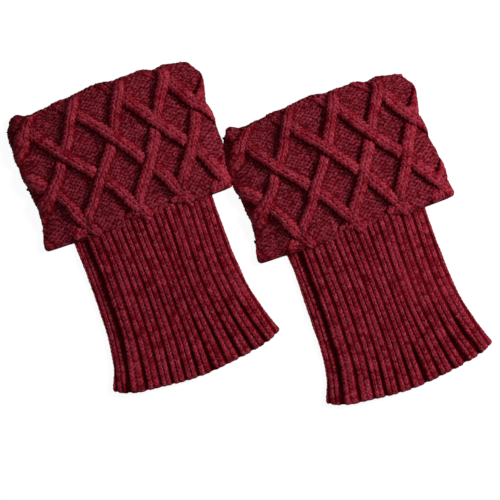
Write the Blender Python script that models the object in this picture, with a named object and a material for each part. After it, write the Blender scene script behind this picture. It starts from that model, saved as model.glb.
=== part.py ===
"""A pair of short knitted leg warmers that lie flat, side by side.

Each leg warmer is two knitted tubes joined end to end: a leg in two-by-two rib that flares at its hem,
and above it a wider cuff whose cables cross in a diamond lattice. Both tubes lie flattened, the front
layer on the back layer, so their underside is flat and their sides are rounded.

The model is in metres with +Z up. The sizes below are in millimetres, in each leg warmer's own frame:
"across" runs to the right, "down" runs from the cuff's top edge to the leg's hem, and "height" is
above the surface that the pair lies on.
"""

import math

import bmesh
import bpy

MM = 0.001


def table(columns, *rows):
    """Return rows of numbers as dictionaries with named columns."""
    names = columns.split()
    return [dict(zip(names, row)) for row in rows]


# Place of the pair: where the top middle of each cuff lies, and how far both lean to the left.
LEAN = math.radians(19.5)
LEFT_PLACE = (-106.1, 98.7)
RIGHT_PLACE = (43.1, 90.3)

# Knitted walls. Edges that bend more sharply than SHARP_ANGLE are shaded as edges.
SHARP_ANGLE = math.radians(50)
CUFF_WALL = 2.4
CUFF_THICKNESS = 7.6
LEG_WALL = 1.9
SEAM_DOWN = 93.4
SEAM_GAP = 0.3

# The section of both tubes: a flat top, a long rounded shoulder, and a tighter round to the underside.
SIDE_LEVEL = 0.4
CUFF_SHOULDER = 7.5
LEG_SHOULDER = 5.0
SHOULDER_ARC = 1.22

# Edges of the cuffs. The pair touch: "tucked" is the left cuff's right edge and "pressed" the right
# cuff's left edge.
CUFF_SIDES = table(
    "down  left  right  tucked  pressed",
    (-5, 66.0, 66.0, 66.0, 62.6),
    (-1, 69.0, 69.2, 69.2, 65.0),
    (3, 70.2, 71.4, 71.4, 66.6),
    (11, 70.6, 72.4, 72.4, 68.0),
    (27, 70.4, 69.4, 69.4, 69.7),
    (47, 69.2, 70.6, 70.4, 69.2),
    (54, 68.2, 71.6, 70.2, 68.2),
    (58, 67.6, 72.4, 70.0, 67.6),
    (62, 67.1, 72.7, 69.7, 67.1),
    (71, 67.0, 72.8, 68.8, 67.0),
    (80, 69.8, 72.8, 67.7, 69.8),
    (89, 71.8, 73.8, 66.2, 71.8),
    (91, 71.8, 74.0, 65.8, 71.8),
    (92.7, 70.0, 72.6, 65.0, 70.0),
)
CUFF_TOP_EDGE = table(
    "across  down",
    (-71, 3.0),
    (-66, -0.6),
    (-61, -4.0),
    (-56, -2.6),
    (-49, -1.6),
    (-40, -2.2),
    (-30, -3.4),
    (-15, -4.4),
    (-2, -6.3),
    (12, -4.5),
    (22, -4.8),
    (34, -4.6),
    (43, -2.4),
    (50, -2.9),
    (57, -1.4),
    (62, -0.2),
    (67, 2.4),
    (71, 5.6),
)

# The lattice: cables cross in rows, and every second row is moved by half a period. The first table
# says how far the cables of each slant wander to the right of their regular place on their way down.
CROSSING_PERIOD = 33.4
CROSSING_ROW = 23.6
CROSSING_ACROSS = 14.5
CROSSING_DOWN = 6.9
CABLE_PATHS = table(
    "down  rising  falling",
    (-8, -8.0, -0.4),
    (3, -4.9, -0.4),
    (10, -3.2, -0.5),
    (15, -2.0, -0.6),
    (22, -0.6, -0.5),
    (30, 0.6, 0.0),
    (42, 1.5, 0.5),
    (54, 1.6, 0.1),
    (65, 2.6, -0.6),
    (77, 2.6, -2.0),
    (94, 2.6, -3.0),
)
# The cloth is pulled out towards its sides, so that crossings there lie further out and lower. That and
# the wander fade near the sides by the powers in the two holds, and the pull near both ends too.
SIDE_PULL = table(
    "across  rising  falling",
    (-66, -6.8, -8.7),
    (-55, -6.5, -8.6),
    (-42, -5.0, -7.6),
    (-32, -3.2, -5.9),
    (-24, -1.9, -4.1),
    (-15, 0.3, -2.3),
    (-5, 2.6, -0.8),
    (5, 3.8, 0.0),
    (18, 4.2, 0.0),
    (30, 4.1, 0.0),
    (42, 3.3, 0.0),
    (56, 1.8, 0.0),
    (68, 1.4, 0.0),
)
RISING_PULL = table(
    "down  share",
    (-8, 0.55),
    (10, 0.5),
    (20, 0.4),
    (30, 0.65),
    (45, 0.9),
    (60, 1.0),
    (94, 1.05),
)
WANDER_HOLD = 4
PULL_HOLD = 8
PULL_TOP_ROWS = 3
PULL_END = 3.0
PULL_FADE = 16.0
CABLE_HALF_WIDTH = 4.8
CABLE_RISE = 3.4
CABLE_ROUNDNESS = 0.7
CROSSING_LIFT = 0.7
CROSSING_REACH = 4
GROUND_SAG = 0.9
CABLE_SIDE_SHARE = 0.28
CABLE_RIM_SHARE = 0.6
CABLE_END_SHARE = 0.25
CABLE_END_LENGTH = 10.0

# The cuff's points: a grid with whole steps between two crossings, so that cables follow its diagonals.
STEPS_PER_CROSSING = 6
COLUMNS_LEFT = 28
COLUMNS_RIGHT = 18
CUFF_SHOULDER_COLUMNS = (0.34, 0.67, 1.0, 1.5)
UNDERSIDE_COLUMNS = (1.0, 0.6, 0.2, -0.2, -0.6, -1.0)
CUFF_ROWS = 22
CUFF_ROW_STEP = CROSSING_ROW / STEPS_PER_CROSSING
CUFF_ROWS_ABOVE_CROSSING = 2
CUFF_LEVEL_ROUNDS = 6
CUFF_EDGE_ROWS = 4
CUFF_RIM = 0.72
CUFF_RIM_ROWS = 2

# The cuffs' relief fades where the pair touch.
TUCKED_BELOW = 50
PRESSED_ABOVE = 36
TOUCH_FADE = 4.0

# The cuff's lower corners and its end at the seam, as shares of its thickness and of the way in.
CORNER_DOWN = 92.6
CORNER_DROP = 0.9
CORNER_DROP_START = 3
CORNER_DROP_LENGTH = 5
CORNER_DRAW = 0.12
CORNER_THICKNESS = 0.8
CORNER_PUFF = 1.4
CORNER_PUFF_INSET = 6
CORNER_PUFF_LENGTH = 8
SEAM_THICKNESS = 0.9

# The cuff's plain inside, ring by ring: "draw" is how far the ring is drawn in to the leg's width.
INSIDE_SIDE_LIFT = 0.3
CUFF_INSIDE = table(
    "down  thickness  draw",
    (-5.9, 0.72, 0.0),
    (2.9, 1.0, 0.0),
    (30.0, 1.0, 0.0),
    (54.0, 1.0, 0.0),
    (66.0, 1.0, 0.0),
    (80.0, 1.0, 0.0),
    (88.4, 1.0, 0.0),
    (90.6, 0.9, 0.1),
    (91.2, 0.9, 1.0),
    (SEAM_DOWN, 0.84, 1.0),
)

# The ribbed leg, by how far along it is from the seam (0) to the hem (1).
LEG_SIDES = table(
    "along  left  right  thickness  rib_rise",
    (0.0, 50.6, 50.4, 5.2, 1.5),
    (0.07, 49.8, 50.4, 5.0, 1.6),
    (0.3, 49.6, 50.8, 5.0, 1.6),
    (0.5, 49.7, 51.4, 5.0, 1.6),
    (0.64, 50.0, 53.2, 5.0, 1.6),
    (0.76, 51.0, 55.8, 5.2, 1.7),
    (0.86, 53.4, 58.2, 5.5, 1.9),
    (0.94, 56.6, 60.8, 5.8, 2.1),
    (1.0, 59.2, 63.4, 6.0, 2.2),
)
HEM = table(
    "across  down",
    (-60, 200.2),
    (-54, 204.2),
    (-44, 207.5),
    (-30, 209.2),
    (-12, 210.8),
    (8, 210.8),
    (26, 209.0),
    (42, 206.4),
    (56, 203.4),
    (64, 198.8),
)
RIB_CENTRES = (
    -53.0, -45.7, -37.7, -28.5, -20.4, -12.4, -4.3, 3.9, 12.1, 20.6, 29.2, 37.0, 44.9, 53.0,
)
# A rib's profile, as shares of the way from its centre to the next valley: its crest is level as far
# as RIB_CREST, where its slope starts, and a fine groove runs down its middle between its two wales.
RIB_CREST = 0.42
RIB_SLOPE_MIDDLE = 0.72
RIB_SLOPE_LENGTH = 0.5
WALE_GROOVE = 0.12
WALE_GROOVE_REACH = 0.3
LAST_RIB_HALF = 4.0
RIB_SIDE_FADE = 0.6
RIB_SIDE_START = 0.6
LEG_SHOULDER_COLUMNS = (1.0, 1.45)
LEG_ROWS = (0.0, 0.1, 0.24, 0.38, 0.5, 0.61, 0.71, 0.8, 0.88, 0.95, 1.0)
LEG_INNER_ROWS = (0.0, 0.38, 0.71, 0.88, 1.0)


def smooth(rows, key, column, at):
    """Read a column at a place between two rows, on a smooth curve through all the rows."""
    last = len(rows) - 1
    if at <= rows[0][key]:
        return rows[0][column]
    if at >= rows[last][key]:
        return rows[last][column]
    i = max(n for n in range(last) if rows[n][key] <= at)

    def slope(n):
        before, after = rows[max(n - 1, 0)], rows[min(n + 1, last)]
        return (after[column] - before[column]) / (after[key] - before[key])

    span = rows[i + 1][key] - rows[i][key]
    t = (at - rows[i][key]) / span
    value = rows[i][column] * (2 * t**3 - 3 * t**2 + 1) + rows[i + 1][column] * (3 * t**2 - 2 * t**3)
    return value + span * (slope(i) * (t**3 - 2 * t**2 + t) + slope(i + 1) * (t**3 - t**2))


def ease(t):
    """Go smoothly from 0 to 1 as t does."""
    t = min(max(t, 0.0), 1.0)
    return t * t * (3 - 2 * t)


def wrap(x, left, right, thickness, shoulder, flat, rise):
    """Place one point of a flattened tube's outer surface.

    x is measured round the tube from the middle of its front. It lies on the flat top up to "flat" on
    either side, then goes round the shoulder and under. rise lifts the point off the surface.
    """
    width = right if x > 0 else left
    side = 1 if x > 0 else -1
    level = SIDE_LEVEL * thickness
    over = abs(x) - flat
    if over <= 0:
        return (x * (width - shoulder) / flat, thickness + rise)
    turn = min(over / (shoulder * SHOULDER_ARC), 2.0) * math.pi / 2
    if turn <= math.pi / 2:
        reach, height = shoulder, thickness - level
    else:
        reach, height = level, level
    out = width - reach + reach * math.sin(turn) + rise * math.sin(turn)
    up = level + height * math.cos(turn) + rise * max(math.cos(turn), 0.0)
    return (side * out, up)


def underside(fraction, left, right, thickness):
    """Place a point of the flat underside, from its right edge (1) to its left edge (-1)."""
    level = SIDE_LEVEL * thickness
    middle = (right - left) / 2
    half = (right + left) / 2 - level
    return (middle + fraction * half, 0.0)


def split_quad(bm, corners, lifts):
    """Add two triangles, split along the diagonal that follows the higher ridge."""
    a, b, c, d = corners
    if lifts[0] + lifts[2] >= lifts[1] + lifts[3]:
        bm.faces.new((a, b, c))
        bm.faces.new((a, c, d))
    else:
        bm.faces.new((a, b, d))
        bm.faces.new((b, c, d))


def close_end(bm, outer, inner, stations, at_top):
    """Join an end of the outer tube to the inner one, whose points stand at some of its stations."""
    count = len(outer)
    for j, start in enumerate(stations):
        stop = stations[(j + 1) % len(stations)]
        if stop <= start:
            stop += count
        near, far = inner[j], inner[(j + 1) % len(inner)]
        half = (start + stop) // 2
        faces = [(outer[n % count], outer[(n + 1) % count], near) for n in range(start, half)]
        faces.append((outer[half % count], far, near))
        faces += [(outer[n % count], outer[(n + 1) % count], far) for n in range(half, stop)]
        for face in faces:
            bm.faces.new(face if at_top else tuple(reversed(face)))


def knitted_tube(name, outer, lifts, inner, stations, material, place):
    """Build one tube from its outer rings, its plain inner rings and the ends that join them."""
    bm = bmesh.new()
    outside = [[bm.verts.new((x * MM, -down * MM, z * MM)) for x, down, z in ring] for ring in outer]
    inside = [[bm.verts.new((x * MM, -down * MM, z * MM)) for x, down, z in ring] for ring in inner]
    count = len(outside[0])
    for k in range(len(outside) - 1):
        for i in range(count):
            n = (i + 1) % count
            corners = (outside[k][i], outside[k + 1][i], outside[k + 1][n], outside[k][n])
            split_quad(bm, corners, (lifts[k][i], lifts[k + 1][i], lifts[k + 1][n], lifts[k][n]))
    count = len(inside[0])
    for k in range(len(inside) - 1):
        for i in range(count):
            n = (i + 1) % count
            corners = (inside[k][n], inside[k + 1][n], inside[k + 1][i], inside[k][i])
            split_quad(bm, corners, (0, 0, 0, 0))
    close_end(bm, outside[0], inside[0], stations, at_top=True)
    close_end(bm, outside[-1], inside[-1], stations, at_top=False)
    mesh = bpy.data.meshes.new(name)
    bm.to_mesh(mesh)
    bm.free()
    mesh.shade_smooth()
    mesh.set_sharp_from_angle(angle=SHARP_ANGLE)
    mesh.materials.append(material)
    obj = bpy.data.objects.new(name, mesh)
    bpy.context.scene.collection.objects.link(obj)
    obj.location = (place[0] * MM, place[1] * MM, 0)
    obj.rotation_euler = (0, 0, LEAN)
    return obj


def cable_rise(x, down):
    """Height of the regular lattice: two sets of cables that pass over and under, on ground that sags."""
    step = (down - CROSSING_DOWN) / CROSSING_ROW
    falling = (x - CROSSING_ACROSS) / CROSSING_PERIOD - step / 2
    rising = (x - CROSSING_ACROSS) / CROSSING_PERIOD + step / 2
    slant = math.cos(math.atan2(CROSSING_PERIOD / 2, CROSSING_ROW))
    falling_over = round(step) % 2 == 1
    near_row = math.cos(math.pi * (step - round(step))) ** CROSSING_REACH
    rises = []
    for phase, over in ((falling, falling_over), (rising, not falling_over)):
        off = (phase - round(phase)) * CROSSING_PERIOD * slant / CABLE_HALF_WIDTH
        body = max(0.0, 1 - off * off) ** CABLE_ROUNDNESS
        rises.append(body * (CABLE_RISE + (CROSSING_LIFT if over else -CROSSING_LIFT) * near_row))
    sag = GROUND_SAG * abs(math.sin(math.pi * falling) * math.sin(math.pi * rising))
    return max(rises) - sag


def cuff_columns():
    """Places round the cuff's front and sides: on the lattice's own grid, then round each shoulder."""
    step = CROSSING_PERIOD / 2 / STEPS_PER_CROSSING
    front = [CROSSING_ACROSS + step * n for n in range(-COLUMNS_LEFT, COLUMNS_RIGHT + 1)]
    sides = [CUFF_SHOULDER * SHOULDER_ARC * part for part in CUFF_SHOULDER_COLUMNS]
    return [front[0] - s for s in reversed(sides)] + front + [front[-1] + s for s in sides]


def cuff_flat(columns, x):
    """How far the cuff's flat top reaches on the side that x is on."""
    return columns[-1 - len(CUFF_SHOULDER_COLUMNS)] if x > 0 else -columns[len(CUFF_SHOULDER_COLUMNS)]


def cuff_edges(down, edge_columns, draw):
    """Left and right edges at one level, drawn in by a share of the way to the leg's edges."""
    left, right = (smooth(CUFF_SIDES, "down", column, down) for column in edge_columns)
    leg = LEG_SIDES[0]
    return left + (leg["left"] - left) * draw, right + (leg["right"] - right) * draw


def crossing_shift(down):
    """How far the wandering cables move the lattice's points at one level: to the right, and down."""
    rising = smooth(CABLE_PATHS, "down", "rising", down)
    falling = smooth(CABLE_PATHS, "down", "falling", down)
    return (rising + falling) / 2, (rising - falling) * CROSSING_ROW / CROSSING_PERIOD


def side_pull(x, down):
    """How far one point of the lattice is pulled out towards the side: to the right, and down."""
    rising = smooth(SIDE_PULL, "across", "rising", x) * smooth(RISING_PULL, "down", "share", down)
    falling = smooth(SIDE_PULL, "across", "falling", x)
    return (rising + falling) / 2, (rising - falling) * CROSSING_ROW / CROSSING_PERIOD


def cuff_level(row):
    """Level of one row of points in the regular lattice, and the level where it lies."""
    regular = CROSSING_DOWN + (row - CUFF_ROWS_ABOVE_CROSSING) * CUFF_ROW_STEP
    down = regular
    for _ in range(CUFF_LEVEL_ROUNDS):
        down = regular + crossing_shift(down)[1]
    return regular, down


def cuff_top_lift(x, row):
    """How far a point in one of the upper rows is moved down, so that the top edge has its own line."""
    edge = smooth(CUFF_TOP_EDGE, "across", "down", x)
    return (edge - cuff_level(0)[1]) * max(0.0, 1 - row / CUFF_EDGE_ROWS)


def cuff_ring(columns, row, edge_columns):
    """One outer ring of the cuff with its cables, and how high each point is raised."""
    regular, down = cuff_level(row)
    sway = crossing_shift(down)[0]
    left, right = cuff_edges(down, edge_columns, 0.0)
    rim = ease(row / CUFF_RIM_ROWS)
    thickness = CUFF_THICKNESS * (CUFF_RIM + (1 - CUFF_RIM) * rim)
    fade = CABLE_END_SHARE + (1 - CABLE_END_SHARE) * ease((SEAM_DOWN - down) / CABLE_END_LENGTH)
    fade *= CABLE_RIM_SHARE + (1 - CABLE_RIM_SHARE) * rim
    ring, rises = [], []
    for x in columns:
        flat = cuff_flat(columns, x)
        round_side = ease((abs(x) - flat) / (CUFF_SHOULDER * SHOULDER_ARC))
        rise = cable_rise(x, regular) * fade * (1 - (1 - CABLE_SIDE_SHARE) * round_side)
        tucked = edge_columns[1] == "tucked" and x > 0 and down > TUCKED_BELOW
        pressed = edge_columns[0] == "pressed" and x < 0 and down < PRESSED_ABOVE
        if tucked or pressed:
            rise *= 1 - ease((abs(x) - flat + TOUCH_FADE) / TOUCH_FADE)
        pull_out, pull_down = side_pull(x, down)
        free = max(0.0, 1 - (x / flat) ** PULL_HOLD) * ease(row / PULL_TOP_ROWS)
        place = x + sway * max(0.0, 1 - (x / flat) ** WANDER_HOLD) + pull_out * free
        pull_down *= free * ease((CORNER_DOWN - PULL_END - down) / PULL_FADE)
        across, height = wrap(place, left, right, thickness, CUFF_SHOULDER, flat, rise)
        ring.append((across, down + pull_down + cuff_top_lift(across, row), height))
        rises.append(rise)
    for part in UNDERSIDE_COLUMNS:
        across, height = underside(part, left, right, thickness)
        ring.append((across, down + cuff_top_lift(across, row), height))
        rises.append(0.0)
    return ring, rises


def cuff_corner_ring(columns, edge_columns):
    """The ring where the lower corners round over, beyond both sides of the leg."""
    left, right = cuff_edges(CORNER_DOWN, edge_columns, CORNER_DRAW)
    thickness = CUFF_THICKNESS * CORNER_THICKNESS
    ring = []
    for x in columns:
        leg_edge = LEG_SIDES[0]["right" if x > 0 else "left"]
        across, height = wrap(x, left, right, thickness, CUFF_SHOULDER, cuff_flat(columns, x), 0)
        past_leg = abs(x) - leg_edge
        height += CORNER_PUFF * (1 - ease((past_leg + LEG_SHOULDER + CORNER_PUFF_INSET) / CORNER_PUFF_LENGTH))
        drop = CORNER_DROP * ease((past_leg - CORNER_DROP_START) / CORNER_DROP_LENGTH)
        ring.append((across, CORNER_DOWN + drop, height))
    for part in UNDERSIDE_COLUMNS:
        across, height = underside(part, left, right, thickness)
        ring.append((across, CORNER_DOWN + (CORNER_DROP if abs(part) == 1 else 0), height))
    return ring


def cuff_seam_ring(columns):
    """The last ring, drawn in to the leg's width, with the corners' points gathered at its sides."""
    leg = LEG_SIDES[0]
    thickness = CUFF_THICKNESS * SEAM_THICKNESS
    ring = []
    for x in columns:
        reach = cuff_flat(columns, x) + 2 * CUFF_SHOULDER * SHOULDER_ARC
        leg_flat = leg["right" if x > 0 else "left"] - LEG_SHOULDER
        leg_reach = leg_flat + 2 * LEG_SHOULDER * SHOULDER_ARC
        drawn = math.copysign(abs(x) - (reach - leg_reach) * ease(abs(x) / reach), x)
        across, height = wrap(drawn, leg["left"], leg["right"], thickness, LEG_SHOULDER, leg_flat, 0)
        ring.append((across, SEAM_DOWN, height))
    for part in UNDERSIDE_COLUMNS:
        across, height = underside(part, leg["left"], leg["right"], thickness)
        ring.append((across, SEAM_DOWN, height))
    return ring


def cuff_inside_ring(columns, stations, row, edge_columns):
    """One plain inner ring of the cuff, a wall's thickness inside the outer ones."""
    left, right = cuff_edges(row["down"], edge_columns, row["draw"])
    thickness = CUFF_THICKNESS * row["thickness"]
    ring = []
    for station in stations:
        height = CUFF_WALL
        if station >= len(columns):
            across = underside(UNDERSIDE_COLUMNS[station - len(columns)], left, right, thickness)[0]
        else:
            x = columns[station]
            flat, edge = cuff_flat(columns, x), right if x > 0 else left
            if abs(x) > flat + 1:
                across, height = math.copysign(edge - CUFF_WALL, x), SIDE_LEVEL * thickness + INSIDE_SIDE_LIFT
            else:
                across, height = x * (edge - CUFF_SHOULDER) / flat, thickness - CUFF_WALL
        lift = cuff_top_lift(across, (row["down"] - cuff_level(0)[1]) / CUFF_ROW_STEP)
        ring.append((across, row["down"] + lift, height))
    return ring


def make_cuff(name, edge_columns, material, place):
    """The cable cuff: an open tube whose lower end draws in to the width of the ribbed leg."""
    columns = cuff_columns()
    outer, lifts = [], []
    for row in range(CUFF_ROWS + 1):
        ring, rises = cuff_ring(columns, row, edge_columns)
        outer.append(ring)
        lifts.append(rises)
    for ring in (cuff_corner_ring(columns, edge_columns), cuff_seam_ring(columns)):
        outer.append(ring)
        lifts.append([0.0] * len(ring))
    sides = len(CUFF_SHOULDER_COLUMNS)
    front_end = len(columns) - sides - 1
    stations = [sides - 2] + list(range(sides, front_end - 1, 4)) + [front_end, front_end + 3]
    stations += [len(columns) + n for n in range(1, len(UNDERSIDE_COLUMNS) - 1)]
    inner = [cuff_inside_ring(columns, stations, row, edge_columns) for row in CUFF_INSIDE]
    return knitted_tube(name, outer, lifts, inner, stations, material, place)


def rib_shape(x):
    """Profile of the ribs round the leg: two raised wales with a fine groove, then a valley."""
    i = min(range(len(RIB_CENTRES)), key=lambda n: abs(RIB_CENTRES[n] - x))
    j = i + 1 if x > RIB_CENTRES[i] else i - 1
    j = min(max(j, 0), len(RIB_CENTRES) - 1)
    half = abs(RIB_CENTRES[j] - RIB_CENTRES[i]) / 2 or LAST_RIB_HALF
    off = min(abs(x - RIB_CENTRES[i]) / half, 1.0)
    groove = WALE_GROOVE * max(0.0, 1 - off / WALE_GROOVE_REACH)
    return 1 - ease((off - RIB_CREST) / RIB_SLOPE_LENGTH) - groove


def leg_columns():
    """Places round the leg's front and sides: six to each rib, then two round each side."""
    front = []
    for before, centre, after in zip(RIB_CENTRES, RIB_CENTRES[1:], RIB_CENTRES[2:]):
        to_left, to_right = (centre - before) / 2, (after - centre) / 2
        front += [centre - part * to_left for part in (1, RIB_SLOPE_MIDDLE, RIB_CREST, 0)]
        front += [centre + part * to_right for part in (RIB_CREST, RIB_SLOPE_MIDDLE)]
    front.append((RIB_CENTRES[-2] + RIB_CENTRES[-1]) / 2)
    sides = [LEG_SHOULDER * SHOULDER_ARC * part for part in LEG_SHOULDER_COLUMNS]
    left, right = leg_flat(-1), leg_flat(1)
    return [-left - s for s in reversed(sides)] + front + [right + s for s in sides]


def leg_flat(x):
    """How far the leg's flat top reaches on the side that x is on."""
    return LEG_SIDES[0]["right" if x > 0 else "left"] - LEG_SHOULDER


def leg_down(across, along):
    """Distance down of a point, on rows that are straight at the seam and bow to the hem."""
    start = SEAM_DOWN + SEAM_GAP
    return start + (smooth(HEM, "across", "down", across) - start) * along


def leg_ring(columns, row, along):
    """One outer ring of the leg with its ribs, and how high each point is raised."""
    arc = LEG_SHOULDER * SHOULDER_ARC
    left, right, thickness = row["left"], row["right"], row["thickness"]
    ring, rises = [], []
    for x in columns:
        side_fade = 1 - RIB_SIDE_FADE * ease((abs(x) - leg_flat(x) - arc * RIB_SIDE_START) / arc)
        rise = row["rib_rise"] * rib_shape(x) * side_fade
        across, height = wrap(x, left, right, thickness, LEG_SHOULDER, leg_flat(x), rise)
        ring.append((across, leg_down(across, along), height))
        rises.append(rise)
    for part in UNDERSIDE_COLUMNS:
        across, height = underside(part, left, right, thickness)
        ring.append((across, leg_down(across, along), height))
        rises.append(0.0)
    return ring, rises


def leg_inside_ring(columns, stations, row, along):
    """One plain inner ring of the leg."""
    left, right, thickness = row["left"], row["right"], row["thickness"]
    ring = []
    for station in stations:
        height = LEG_WALL
        if station >= len(columns):
            across = underside(UNDERSIDE_COLUMNS[station - len(columns)], left, right, thickness)[0]
        else:
            x = columns[station]
            if station in (stations[0], len(columns) - 2):
                across = (right - LEG_WALL) if x > 0 else (LEG_WALL - left)
                height = SIDE_LEVEL * thickness + INSIDE_SIDE_LIFT
            else:
                across = wrap(x, left, right, thickness, LEG_SHOULDER, leg_flat(x), 0)[0]
                height = thickness - LEG_WALL
        ring.append((across, leg_down(across, along), height))
    return ring


def make_leg(name, material, place):
    """The ribbed leg: a narrow tube that flares and bows at the hem, with its ribs round the front."""
    columns = leg_columns()
    names = ("left", "right", "thickness", "rib_rise")
    rows = {a: {n: smooth(LEG_SIDES, "along", n, a) for n in names} for a in LEG_ROWS}
    rings = [leg_ring(columns, rows[along], along) for along in LEG_ROWS]
    stations = [1] + list(range(8, len(columns) - 8, 6)) + [len(columns) - 2]
    stations += [len(columns) + n for n in range(1, len(UNDERSIDE_COLUMNS) - 1)]
    inner = [leg_inside_ring(columns, stations, rows[along], along) for along in LEG_INNER_ROWS]
    outer, lifts = [ring for ring, rises in rings], [rises for ring, rises in rings]
    return knitted_tube(name, outer, lifts, inner, stations, material, place)


def yarn(name, colour):
    """Matt acrylic yarn."""
    material = bpy.data.materials.new(name)
    material.use_nodes = True
    shader = material.node_tree.nodes["Principled BSDF"]
    shader.inputs["Base Color"].default_value = (*colour, 1)
    shader.inputs["Roughness"].default_value = 0.9
    shader.inputs["Metallic"].default_value = 0.0
    return material


for old in list(bpy.data.objects):
    bpy.data.objects.remove(old)

rib_yarn = yarn("crimson yarn, rib", (0.18, 0.012, 0.028))
cable_yarn = yarn("crimson yarn, cables", (0.21, 0.014, 0.032))
pair = bpy.data.objects.new("pair", None)
bpy.context.scene.collection.objects.link(pair)
pieces = (("left", ("left", "tucked"), LEFT_PLACE), ("right", ("pressed", "right"), RIGHT_PLACE))
for side, edges, spot in pieces:
    make_cuff(side + "_cable_cuff", edges, cable_yarn, spot).parent = pair
    make_leg(side + "_ribbed_leg", rib_yarn, spot).parent = pair
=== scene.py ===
"""The looks of a pair of short knitted leg warmers that lie flat, side by side.

The sections follow the way that the pair is made: the ribbed legs, the cuffs' purl ground, the cables
that cross on it, and then the table, the light and the camera. Sizes are in millimetres in each leg
warmer's own frame: "across" runs to the right and "down" from the cuff's top edge to the leg's hem.
"""

import math

import bmesh
import bpy
import numpy as np
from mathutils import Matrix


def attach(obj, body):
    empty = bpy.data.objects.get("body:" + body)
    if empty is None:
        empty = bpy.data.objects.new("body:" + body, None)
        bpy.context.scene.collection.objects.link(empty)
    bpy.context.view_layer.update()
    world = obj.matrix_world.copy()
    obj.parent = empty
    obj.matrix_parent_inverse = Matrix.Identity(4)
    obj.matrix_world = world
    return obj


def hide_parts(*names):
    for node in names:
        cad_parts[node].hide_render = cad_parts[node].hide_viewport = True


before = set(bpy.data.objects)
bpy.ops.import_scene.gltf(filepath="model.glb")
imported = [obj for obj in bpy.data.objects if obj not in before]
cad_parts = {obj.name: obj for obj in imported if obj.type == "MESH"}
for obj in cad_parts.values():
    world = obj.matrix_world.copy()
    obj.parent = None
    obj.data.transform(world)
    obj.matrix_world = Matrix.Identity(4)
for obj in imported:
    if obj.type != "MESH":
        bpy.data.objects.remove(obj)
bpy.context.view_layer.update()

# Ribbed legs
# Each leg is a tube of two-by-two rib in chunky heathered acrylic yarn: pairs of knit wales stand up as
# ribs, and the purl wales between them close into valleys. It lies flattened and flares at its hem.

# Where each leg warmer's own frame lies and how it leans. Its cloth keeps just above the table, and a
# flattened tube is widest at SIDE_LEVEL of its thickness.
MM = 0.001
PLACES = {"left": (-106.1, 98.7), "right": (43.1, 90.3)}
LEAN = math.radians(19.5)
LOWEST = 0.05
SIDE_LEVEL = 0.4
SEAM_DOWN = 93.4


def table(columns, *rows):
    """Rows of numbers as dictionaries with named columns."""
    names = columns.split()
    return [dict(zip(names, row)) for row in rows]


# The tube's two sides and its thickness on the way along the leg, from 0 at the seam to 1 at the hem.
LEG_SIDES = table(
    "along  left  right  thickness  rib_rise",
    (0.0, 50.8, 50.6, 5.2, 0.3),
    (0.07, 50.2, 50.5, 5.0, 0.25),
    (0.3, 49.9, 50.8, 5.0, 0.25),
    (0.5, 50.1, 51.5, 5.0, 0.3),
    (0.64, 50.5, 53.1, 5.0, 0.4),
    (0.76, 51.8, 56.0, 5.2, 0.45),
    (0.86, 54.2, 58.8, 5.5, 0.55),
    (0.94, 57.0, 61.2, 5.8, 0.65),
    (1.0, 59.0, 63.4, 6.0, 0.7),
)
HEM = table(
    "across  down",
    (-60, 200.0),
    (-54, 203.4),
    (-44, 206.2),
    (-30, 207.8),
    (-12, 209.7),
    (8, 209.9),
    (26, 207.9),
    (42, 205.5),
    (56, 202.2),
    (64, 198.4),
)

# Where the valleys between the ribs lie across the leg, and how deep they are at the seam and the hem.
# LEVELS says how far along the leg the first four columns hold.
RIB_VALLEYS = table(
    "seam  middle  flare  hem  depth  hem_depth",
    (-50.4, -50.0, -52.4, -57.8, 0.2, 0.3),
    (-43.0, -42.4, -44.2, -50.0, 3.2, 2.8),
    (-32.6, -31.8, -33.4, -37.0, 1.0, 1.8),
    (-24.3, -23.0, -24.0, -26.7, 0.9, 1.5),
    (-16.4, -14.8, -16.0, -18.7, 1.0, 1.9),
    (-8.3, -6.8, -7.0, -9.0, 1.0, 1.5),
    (-0.2, 1.2, 1.4, 0.2, 0.9, 1.8),
    (8.1, 9.0, 10.0, 11.0, 1.0, 2.6),
    (16.1, 16.1, 19.0, 21.5, 1.3, 1.8),
    (25.1, 24.5, 27.6, 31.9, 1.0, 2.3),
    (33.3, 32.7, 36.1, 41.6, 0.9, 2.8),
    (40.7, 40.9, 45.2, 52.8, 1.0, 2.8),
    (48.9, 49.9, 55.2, 60.6, 0.9, 1.2),
)
LEVELS = {"seam": 0.03, "middle": 0.5, "flare": 0.76, "hem": 1.0}

# The tube's form. Its left side falls off over a broad shoulder, and steps down before its last valley.
LEG_SHOULDER = 5.0
LEG_LEFT_SHOULDER = 13.0
SHOULDER_LIMIT = 0.98
LEFT_FALL = 1.5
LEFT_STEP = 1.9
LEFT_STEP_RIB = 1.15
LEFT_STEP_RIBS = 0.4
LEG_CROWN = 1.5
CROWN_END = 1.15
LEG_WALL = 1.9
LEG_TUCK = 3.0
TUCK_LIFT = 0.4
TUCK_START = 1.9
SIDE_RIBS = 1.6
UNDER_RIBS = 6.0
FACING_RIBS = 0.7

# The stitches. Shares are of one rib's width, which is two knit wales and the valley beside them.
RIB_SPACING = 8.0
RIB_WALES = 2
LEG_COURSE = 3.0
COURSE_SHIFT = 0.4
WALE_SHARE = 0.43
VALLEY_SHARE = 0.07
VALLEY_FLOOR = 0.06
WALE_ROUND = 1.1
RIB_STITCH_RISE = 0.7
VALLEY_STITCH = 0.5
LADDER_LOW = 0.25
LADDER_RISE = 0.5
STITCH_SLANT = 0.9
STITCH_LEG = 0.53
STITCH_MIDDLE = 0.38
STITCH_GAP = 0.25
STITCH_UNEVEN = 0.4

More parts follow.
